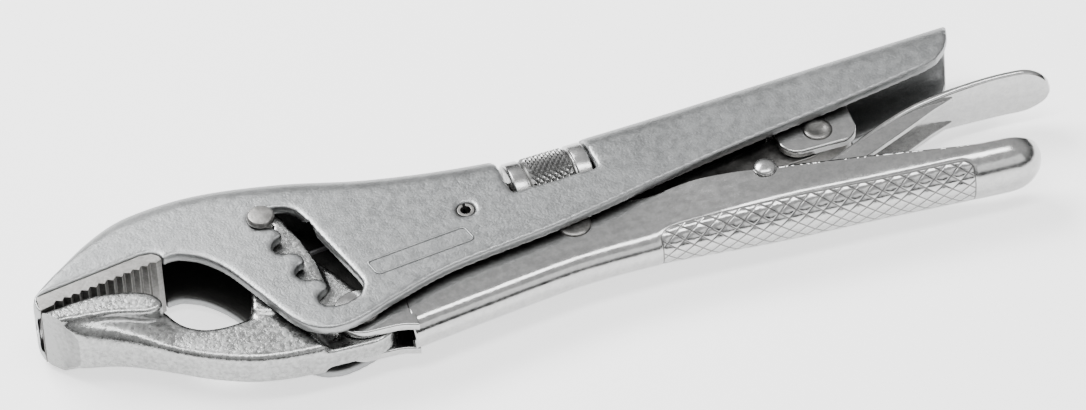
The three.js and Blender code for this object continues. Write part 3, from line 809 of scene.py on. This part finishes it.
def makeTrough():
    xs = handleStations()
    count = handle["across"]
    innerCount = 30
    rows, unfold = [], []
    for x in xs:
        half, floor, top = handleHalf(x), handleFloor(x), handleTop(x)
        outer, length = troughLine(half, floor, top, count)
        back = x + (handle["sheet"] * 0.6 if x > handle["round"] else 0.0)
        thin = max(0.25, handleHalf(back) - handle["sheet"])
        if x > handle["tail"] - handle["sheet"]:
            thin = 0.25
        inner, _ = troughLine(thin, min(top - 1.2, handleFloor(back) + handle["sheet"]), top, innerCount)
        row = [(x, y, z) for z, y in outer]
        rim = min(0.45, (half - thin) * 0.3)
        row[0] = (x, row[0][1] - rim * 0.9, row[0][2])
        row[-1] = (x, row[-1][1] - rim * 0.9, row[-1][2])
        far, near = (rimArc(x, top, rim, half, thin, side) for side in (-1, 1))
        innerRow = [(x, min(y, top - rim), z) for z, y in inner]
        ring = row + far + innerRow[::-1] + near[::-1]
        rows.append(ring)
        for i in range(len(ring)):
            v = (i / (count - 1) - 0.5) * length if i < count else 0.0
            edge = patchEdge(x, v) if i < count else -9.0
            unfold.append((x, v, edge))
    size = len(rows[0])
    vertices = [at(*p) for ring in rows for p in ring]
    faces = []
    for r in range(len(rows) - 1):
        for i in range(size):
            j = (i + 1) % size
            faces.append([r * size + i, (r + 1) * size + i, (r + 1) * size + j, r * size + j])
    faces.append(list(range(size)))
    faces.append([(len(rows) - 1) * size + i for i in range(size)][::-1])
    piece = faceOut(newPiece("lowerHandle", vertices, faces), merge=False)
    markVectors(piece, "unfold", unfold)
    # Painted shade: the trough's inner faces are darkened in colour.
    mark(piece, "inside", [1.0 if i % size > count + 8 and i % size < size - 9 else 0.0
                           for i in range(len(vertices))])
    return shadeSmooth(piece)


def diamondTree():
    tree = nodeTree("diamondPatch", [("Pitch Along", "NodeSocketFloat", 4.3),
                                     ("Pitch Around", "NodeSocketFloat", 3.5),
                                     ("Line Width", "NodeSocketFloat", 0.3),
                                     ("Depth", "NodeSocketFloat", 0.0002),
                                     ("Material", "NodeSocketMaterial", None)])
    entry = tree.nodes.new("NodeGroupInput").outputs
    unfold = addNode(tree, "GeometryNodeInputNamedAttribute", {"data_type": "FLOAT_VECTOR"},
                     {"Name": "unfold"})
    parts = addNode(tree, "ShaderNodeSeparateXYZ", values={0: unfold.outputs["Attribute"]}).outputs

    def sums(operation, *values):
        return addNode(tree, "ShaderNodeMath", {"operation": operation}, dict(enumerate(values))).outputs[0]

    along = sums("DIVIDE", parts[0], entry["Pitch Along"])
    around = sums("DIVIDE", parts[1], entry["Pitch Around"])
    lines = []
    for operation in ("ADD", "SUBTRACT"):
        cell = sums("FRACT", sums(operation, along, around))
        toLine = sums("SUBTRACT", 0.5, sums("ABSOLUTE", sums("SUBTRACT", cell, 0.5)))
        distance = sums("MULTIPLY", toLine, 2.7)  # millimetres across the line
        lines.append(addNode(tree, "ShaderNodeMapRange", {"interpolation_type": "SMOOTHSTEP"},
                             {0: distance, 1: entry["Line Width"], 2: 0.0, 3: 0.0, 4: 1.0}).outputs[0])
    inside = addNode(tree, "ShaderNodeMapRange", {"interpolation_type": "SMOOTHSTEP"},
                     {0: parts[2], 1: 0.0, 2: 0.25, 3: 0.0, 4: 1.0}).outputs[0]
    border = addNode(tree, "ShaderNodeMapRange", {"interpolation_type": "SMOOTHSTEP"},
                     {0: sums("ABSOLUTE", parts[2]), 1: entry["Line Width"], 2: 0.0, 3: 0.0,
                      4: 1.0}).outputs[0]
    grid = sums("MULTIPLY", sums("MAXIMUM", *lines), inside)
    deep = sums("MULTIPLY", sums("MAXIMUM", grid, border), sums("MULTIPLY", entry["Depth"], -1.0))
    normal = addNode(tree, "GeometryNodeInputNormal").outputs[0]
    offset = addNode(tree, "ShaderNodeVectorMath", {"operation": "SCALE"},
                     {0: normal, "Scale": deep}).outputs[0]
    moved = addNode(tree, "GeometryNodeSetPosition",
                    values={"Geometry": entry["Geometry"], "Offset": offset})
    finishTree(tree, moved.outputs[0], entry["Material"])
    return tree


def makeHandle():
    trough = runTree(makeTrough(), diamondTree(), {
        "Pitch Along": diamond["along"], "Pitch Around": diamond["around"],
                                                   "Line Width": handle["lineWide"],
        "Depth": handle["lineDeep"] / 1000, "Material": steel["diamondSheet"]})
    ear = arc(hingePivot, 7, 80, 270, 40) + [(-42.5, -22.6), (-40.6, -22.9), (-37.4, -24), (-37.4, -9),
                                             (-42, -8.8)]
    inner, outer = handle["frontHalf"] - handle["sheet"] + 0.01, handle["frontHalf"] - 0.01
    ears = [plate("nearEar", ear, inner, outer, 0.4, 3, 50),
            plate("farEar", ear, -outer, -inner, 0.4, 3, 50)]
    for piece in ears:
        shadeSmooth(piece)
    return joined("lowerHandle", [trough, *ears])


place(makeHandle(), "diamondSheet", "lower_handle", "lower_handle")
print("lower handle made")

lever = dict(thick=1.6, crown=0.7, wallInner=3.3, wallOuter=4.9, noseHalf=3.4)


def leverHalf(x):
    spoon = 5 + 1.9 * smoothstep(x, 80, 118)
    t = max(0.0, (x - 122.0) / 7.6)
    return spoon * math.sqrt(max(0.004, 1 - t * t))


def makeLever():
    line = even(spline([(60, -8.2), (66, -6.6), (71, -5), (77, -2.2), (86, 2.2), (94, 5), (102, 6.4),
                        (111, 7.1),
                        (119, 7.2), (126, 6.6), (129.6, 5.4)], 300), 0.6)
    rings = []
    for k, (x, y) in enumerate(line):
        tx, ty = tangent(line, k)
        half = leverHalf(x)
        thick = lever["thick"]
        r = min(0.7, half * 0.8)
        loop = []
        for side in (1, -1):
            for i in range(9):
                a = math.pi * i / 8
                loop.append((thick / 2 - side * thick / 2 * math.cos(a),
                             side * (half - r + r * math.sin(a))))
        dip = lever["crown"] * smoothstep(x, 84, 104) * (1 - smoothstep(x, 124, 129))
        ring = []
        for up, z in loop:
            lift = up - dip * max(0.0, 1 - (z / max(half, 0.1)) ** 2) * 0.9
            ring.append(at(x - ty * lift, y + tx * lift, z))
        rings.append(ring)
    blade = shadeSmooth(ringSolid("releaseLever", rings))
    cheek = [(49.5, -10.4), (60, -9.6), (72, -8), (82, -4.2), (91, 0), (99, 3.9), (105, 6.3), (105, 7.3),
             (98, 6.3),
             (90, 4.1), (82, 0.8), (74, -2.8), (66, -4.5),
             (60, -3)] + arc(leverPivot, 3.9, 20, 150, 16) + [(49.5, -4.6)]
    nose = [(33.5, -12.6), (37, -12.8), (51, -10.1), (51, -6.8), (44, -8), (33.5, -9.4)]
    parts = [plate("nearCheek", cheek, lever["wallInner"], lever["wallOuter"], 0.3),
             plate("farCheek", cheek, -lever["wallOuter"], -lever["wallInner"], 0.3),
             plate("nose", nose, -lever["noseHalf"], lever["noseHalf"], 0.3)]
    return evenNormals(shadeSmooth(joined("releaseLever", [blade, *parts])))


place(makeLever(), "polishedSheet", "release_lever", "release_lever")
print("release lever made")

link = dict(half=2.5, eyeRadius=2.62, edge=0.35)
yoke = dict(half=5.2, gap=3.1, pinRadius=1.72, bossRadius=5.2)


def makeLink():
    angle = math.atan2(yokePivot[1] - linkPivot[1], yokePivot[0] - linkPivot[0])
    length = math.hypot(yokePivot[0] - linkPivot[0], yokePivot[1] - linkPivot[1])
    bar = arc((0, 0), 6, 60, 300, 24) + [(12, -4.2), (length - 16, -4.2), (length - 5, -5.2)] + arc(
        (length + 3.8, 0), 4.8, -78, 78, 20) + [(length - 5, 5.4), (length - 16, 4.2), (12, 4.2)]
    eye = arc((length - 3, 0.6), 3.1, 90, 270, 16) + arc((length + 3.9, 0), 3, -90, 90, 16)
    c, s = math.cos(angle), math.sin(angle)

    def turned(points):
        return [(linkPivot[0] + x * c - y * s, linkPivot[1] + x * s + y * c) for x, y in points]

    piece = plate("toggleLink", turned(bar), -link["half"], link["half"])
    combine(piece, [plate("eye", turned(eye), -4, 4),
                    plate("hole", arc(linkPivot, link["eyeRadius"], 0, 350, 35), -4, 4)], "DIFFERENCE")
    return evenNormals(shadeSmooth(bevelled(piece, link["edge"], 3, 50)))


def makeYoke():
    side = arc((65.6, 6), 5.4, 190, 262, 16) + arc((75, 5.9), 4.9, 276, 355, 16) + [
        (79.8, 16), (78, 19), (74.5, 20.2), (62, 19.9), (60.2, 18)]
    piece = plate("yokeClevis", side, -yoke["half"], yoke["half"], 0.45, 4, 50)
    boss = lathe("boss", [(0.001, 54.4), (yoke["bossRadius"], 54.4), (yoke["bossRadius"], 64), (0.001, 64)],
                 None, 48, alongRod=True)
    gap = plate("gap", [(50, -5), (90, -5), (90, 30), (70, 30), (69, 13.2), (50, 12.6)], -yoke["gap"],
                yoke["gap"])
    combine(piece, [boss], "UNION")
    combine(piece, [gap, plate("pinHole", arc(yokePivot, yoke["pinRadius"], 0, 340, 17), -8, 8)],
            "DIFFERENCE")
    return evenNormals(shadeSmooth(piece))


place(makeLink(), "plainSteel", "toggle_link", "toggle_link")
place(makeYoke(), "polishedSheet", "adjusting_rod", "yoke")
print("link and yoke made")

adjuster = dict(nutRadius=8.4, nutHalf=9.95, rodRadius=3.9, rodFront=-18.6, rodRear=63.5, threadPitch=1.25,
                threadDepth=0.55, threadFade=1.2, bandHalf=5.9, knurlRows=7, knurlAround=30, knurlHigh=0.5)


def headed(shank, head, inner, outer, crown, round=0.25):
    half = [(0.001, outer), (head * crown, outer), (head, outer * 0.55 + inner * 0.45), (head, inner),
            (shank, inner)]
    return roundedProfile(half + [(r, -z) for r, z in reversed(half)], round)


place(lathe("hingeRivet", headed(2.5, 4, 5.25, 5.8, 0.86), hingePivot), "plainSteel", "lower_handle",
      "hinge_rivet")
place(lathe("linkRivet", headed(2.5, 4, 5.25, 5.8, 0.86), linkPivot), "plainSteel", "lower_handle",
      "link_rivet")


def domed(shank, head, inner, outer):
    half = [(head * math.sin(t), inner + (outer - inner) * math.cos(t))
            for t in np.linspace(0.001, math.pi / 2, 10)]
    return half + [(shank, inner), (shank, -inner)] + [(r, -z) for r, z in reversed(half)]


place(lathe("leverRivet", domed(2, 2.8, 7.8, 9.0), leverPivot), "turnedBright", "lower_handle",
      "lever_rivet")
pinProfile = roundedProfile([(0.001, -10.3), (1.9, -10.3), (1.9, -9.2), (2.6, -9.2), (2.6, 9.1),
                             (3.35, 9.1), (3.35, 9.9), (2.95, 10.58), (0.001, 10.6)], 0.25)
place(lathe("jawPivotPin", pinProfile, jawPivot), "plainSteel", "lower_jaw", "jaw_pivot_pin")


def ringProfile(inner, outer, low, high, radius=0.2):
    return roundedProfile([(inner, low), (outer, low), (outer, high), (inner, high), (inner, low)], radius)


place(lathe("pivotCollar", ringProfile(2.05, 3.35, -10.38, -9.3), jawPivot), "plainSteel", "lower_jaw",
      "jaw_pivot_collar")
dished = [(0.001, 5.3), (1.0, 5.34), (1.9, 5.52), (2.6, 5.72), (3.2, 5.62), (3.6, 5.24), (3.58, 5.22),
          (1.6, 5.22)]
yokePinProfile = dished + [(r, -z) for r, z in reversed(dished)]
place(lathe("yokePin", yokePinProfile, yokePivot), "plainSteel", "adjusting_rod", "yoke_pin")
clipProfile = ringProfile(4.0, 5.2, adjuster["rodFront"] + 1, adjuster["rodFront"] + 1.8, 0.15)
place(lathe("rodStopClip", clipProfile, None, 48, alongRod=True), "springSteel", "adjusting_rod",
      "rod_stop_clip")


def makeRod():  # a helical thread, run out at both ends
    sides, perPitch = 28, 8
    length = adjuster["rodRear"] - adjuster["rodFront"]
    rows = int(length / adjuster["threadPitch"] * perPitch)
    vertices = []
    for r in range(rows + 1):
        distance = adjuster["rodFront"] + length * r / rows
        fade = min(1.0, (distance - adjuster["rodFront"]) / adjuster["threadFade"],
                   (adjuster["rodRear"] - distance) / adjuster["threadFade"])
        for i in range(sides):
            phase = (distance / adjuster["threadPitch"] - i / sides) % 1
            cut = abs(phase - 0.5) * 2
            radius = adjuster["rodRadius"] - 0.02 - adjuster["threadDepth"] * (cut if fade >= 1 else 0.6)
            angle = 2 * math.pi * i / sides
            vertices.append(rodPoint(distance, radius * math.cos(angle), radius * math.sin(angle)))
    faces = ringFaces(rows + 1, sides)
    faces += [list(range(sides))[::-1], [rows * sides + i for i in range(sides)]]
    return shadeSmooth(faceOut(newPiece("adjustingRod", vertices, faces)))


place(makeRod(), "plainSteel", "adjusting_rod", "adjusting_rod")


def knurlTree():
    tree = nodeTree("nutKnurl", [("Point Size", "NodeSocketVector", (1, 1, 1)),
                                 ("Material", "NodeSocketMaterial", None)])
    entry = tree.nodes.new("NodeGroupInput").outputs
    axis = addNode(tree, "GeometryNodeInputNamedAttribute", {"data_type": "FLOAT_VECTOR"},
                   {"Name": "outward"})
    along = addNode(tree, "GeometryNodeInputNamedAttribute", {"data_type": "FLOAT_VECTOR"},
                    {"Name": "lengthwise"})
    upright = addNode(tree, "FunctionNodeAxesToRotation", {"primary_axis": "Z", "secondary_axis": "X"},
                      {0: axis.outputs["Attribute"], 1: along.outputs["Attribute"]})
    point = addNode(tree, "GeometryNodeMeshCone",
                    values={"Vertices": 4, "Radius Top": 0.18, "Radius Bottom": 1.0, "Depth": 1.0})
    spots = addNode(tree, "GeometryNodeMeshToPoints", values={0: entry["Geometry"]})
    placed = addNode(tree, "GeometryNodeInstanceOnPoints", values={
        "Points": spots.outputs[0], "Instance": point.outputs[0], "Rotation": upright.outputs[0],
        "Scale": entry["Point Size"]})
    finishTree(tree, placed.outputs[0], entry["Material"])
    return tree


def makeNut():
    half, radius = adjuster["nutHalf"], adjuster["nutRadius"]
    core = radius - adjuster["knurlHigh"]
    profile = [(4.1, -half), (radius - 0.4, -half), (radius, -half + 0.4), (radius, -6.4),
               (core - 0.2, -6.3), (core - 0.2, -5.8), (core, -5.4), (core, 5.2), (core - 0.2, 5.5),
               (core - 0.2, 6.1),
               (radius, 6.2), (radius, half - 0.4), (radius - 0.4, half), (4.1, half), (4.1, -half)]
    blank = lathe("adjustingNut", roundedProfile(profile, 0.12, 2), None, 96, alongRod=True)
    rows, around = adjuster["knurlRows"], adjuster["knurlAround"]
    pitch = 10.6 / rows
    spots, outward = [], []
    c, s = math.cos(rodTilt), math.sin(rodTilt)
    for r in range(2 * rows - 1):
        for k in range(around):
            angle = 2 * math.pi * (k + 0.5 * (r % 2)) / around
            up, across = math.cos(angle), math.sin(angle)
            spots.append(rodPoint(-5.3 + pitch * (r + 1) / 2, core * up, core * across))
            outward.append((-s * up, c * up, across))
    points = newPiece("knurlPoints", spots, [])
    markVectors(points, "outward", outward)
    markVectors(points, "lengthwise", [(c, s, 0.0)] * len(outward))
    across = 2 * math.pi * core / around
    size = (0.5 * pitch / 1000, 0.5 * across / 1000, adjuster["knurlHigh"] / 1000)
    knurl = runTree(points, knurlTree(), {"Point Size": size, "Material": steel["turnedBright"]})
    nut = joined("adjustingNut", [blank, knurl])
    places, _ = readPoints(nut)
    turned = places - np.array((*nutCentre, 0))
    radii = np.hypot(turned[:, 1] * c - turned[:, 0] * s, turned[:, 2])
    inBand = np.abs(turned[:, 0] * c + turned[:, 1] * s + 0.05) < adjuster["bandHalf"]
    # Painted shade: the valleys between the knurl points are darkened in colour.
    mark(nut, "inside", np.where(inBand, 1 - np.clip((radii - core + 0.1) / (0.9 * adjuster["knurlHigh"]),
                                                     0, 1), 0.0))
    return nut


place(makeNut(), "turnedBright", "adjusting_nut", "adjusting_nut")
print("adjuster made")

coil = dict(wire=0.55, radius=3.8, start=13.0, end=36.5, turns=15, perTurn=24)


def wireTree():
    tree = nodeTree("springWire", [("Wire Radius", "NodeSocketFloat", 0.0005),
                                   ("Material", "NodeSocketMaterial", None)])
    entry = tree.nodes.new("NodeGroupInput").outputs
    circle = addNode(tree, "GeometryNodeCurvePrimitiveCircle",
                     values={"Resolution": 10, "Radius": entry["Wire Radius"]})
    wire = addNode(tree, "GeometryNodeCurveToMesh", values={
        "Curve": entry["Geometry"], "Profile Curve": circle.outputs[0], "Fill Caps": True})
    finishTree(tree, wire.outputs[0], entry["Material"])
    return tree


def makeSpring():
    run = np.array(rollPin) - np.array(springAnchor)
    span = float(np.linalg.norm(run))
    ax, ay = run / span
    points = []

    def put(a, s, u):
        points.append(at(springAnchor[0] + a * ax - s * ay, springAnchor[1] + a * ay + s * ax, u))

    for i in range(19):
        t = math.pi * (-0.45 - 1.45 * i / 18)
        put(2 * math.cos(t), 2 * math.sin(t), 0)
    put(5, 2.0, 0)
    put(9, 3.0, 0)
    steps = coil["turns"] * coil["perTurn"]
    for i in range(steps + 1):
        t = 2 * math.pi * i / coil["perTurn"]
        put(coil["start"] + (coil["end"] - coil["start"]) * i / steps, coil["radius"] * math.cos(t),
            coil["radius"] * math.sin(t))
    for i in range(20):
        t = math.pi * (0.68 - 1.5 * i / 19)
        put(span + 2.9 * math.cos(t), 2.9 * math.sin(t), 0)
    curve = bpy.data.curves.new("springPath", "CURVE")
    curve.dimensions = "3D"
    path = curve.splines.new("POLY")
    path.points.add(len(points) - 1)
    path.points.foreach_set("co", [c for p in points for c in (*p, 1.0)])
    piece = bpy.data.objects.new("openingSpring", curve)
    toScene(piece)
    made = runTree(piece, wireTree(), {"Wire Radius": coil["wire"] / 1000,
                                       "Material": steel["springSteel"]})
    return shadeSmooth(made)


spring = place(makeSpring(), "springSteel", None, "opening_spring")
tuple(at(-24, 5.6))
tuple(at(-54.5, 9.1))
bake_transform(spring)  # its hook stays on its pin


def makeRollPin():
    loop = arc(rollPin, 2.08, 100, 440, 48) + arc(rollPin, 1.25, 438, 102, 40)
    return evenNormals(shadeSmooth(plate("rollPin", loop, -8.6, 8.6, 0.15, 2, 50)))


place(makeRollPin(), "plainSteel", "body", "spring_pin")
anchorProfile = roundedProfile([(0.001, -5.4), (1, -5.4), (1, 5.4), (0.001, 5.4)], 0.2)
place(lathe("springAnchorPin", anchorProfile, springAnchor, 24), "plainSteel", "lower_jaw",
      "spring_anchor_pin")
print("spring and pins made")

studio = dict(floor=0.93, glow=1.3, key=30.0, fill=2.0, rim=10.0, horizon=0.02, zenith=0.7)


def makeFloor():
    mesh = bpy.data.meshes.new("floor")
    mesh.from_pydata([(-4, -4, 0), (4, -4, 0), (4, 4, 0), (-4, 4, 0)], [], [(0, 1, 2, 3)])
    piece = bpy.data.objects.new("floor", mesh)
    toScene(piece)
    shader = Shader("paleFloor")
    speck = shader.noise(30.0, 2.0)
    shader.feed("Base Color", shader.blend(speck, (studio["floor"],) * 3, (studio["floor"] + 0.02,) * 3))
    shader.feed("Roughness", 0.8)
    shader.feed("Emission Color", (1, 1, 1, 1))
    shader.feed("Emission Strength", studio["glow"])
    piece.data.materials.append(shader.material)
    piece.location.z = -0.0002


def areaLight(name, position, target, size, power):
    light = bpy.data.lights.new(name, "AREA")
    light.shape = "RECTANGLE"
    light.size, light.size_y = size
    light.energy = power
    lamp = bpy.data.objects.new(name, light)
    lamp.location = position
    lamp.rotation_euler = (Vector(target) - Vector(position)).to_track_quat("-Z", "Y").to_euler()
    toScene(lamp)


makeFloor()
areaLight("keyLight", (-0.5, 0.75, 0.95), (0, 0, 0), (0.9, 0.5), studio["key"])
areaLight("fillLight", (0.5, -0.9, 0.6), (0, 0, 0), (1.0, 0.5), studio["fill"])
areaLight("rimLight", (0.0, -0.15, 1.2), (0, 0, 0), (1.2, 0.25), studio["rim"])


def makeSky():  # brighter overhead than at the horizon
    world = bpy.data.worlds.new("softSky")
    world.use_nodes = True
    tree = world.node_tree
    direction = tree.nodes.new("ShaderNodeTexCoord").outputs["Generated"]
    height = addNode(tree, "ShaderNodeSeparateXYZ", values={0: direction}).outputs[2]
    level = addNode(tree, "ShaderNodeMapRange", {"interpolation_type": "SMOOTHSTEP"},
                    {0: height, 1: 0.05, 2: 0.7, 3: studio["horizon"], 4: studio["zenith"]})
    tree.links.new(level.outputs[0], tree.nodes["Background"].inputs["Strength"])
    tree.nodes["Background"].inputs["Color"].default_value = (1, 1, 1, 1)
    bpy.context.scene.world = world


makeSky()
view = dict(distance=1415.0, lens=198.9, roll=2.4, toward=(-0.1856, -0.6694, 0.7193),
            across=(0.9636, -0.2672, 0.0), upward=(0.1922, 0.6932, 0.6947))
back = Vector(view["toward"]).normalized()
turn = math.radians(view["roll"])
across, upward = Vector(view["across"]), Vector(view["upward"])
right = (across * math.cos(turn) - upward * math.sin(turn)).normalized()
up = back.cross(right)
camera = bpy.data.objects.new("camera", bpy.data.cameras.new("camera"))
camera.data.lens = view["lens"]
camera.data.sensor_width = 36
camera.data.clip_end = 20
camera.matrix_world = Matrix.Translation(at(0, 0, 9) + back * view["distance"] / 1000) @ Matrix(
    (right, up, back)).transposed().to_4x4()
toScene(camera)
bpy.context.scene.camera = camera

print("scene made")
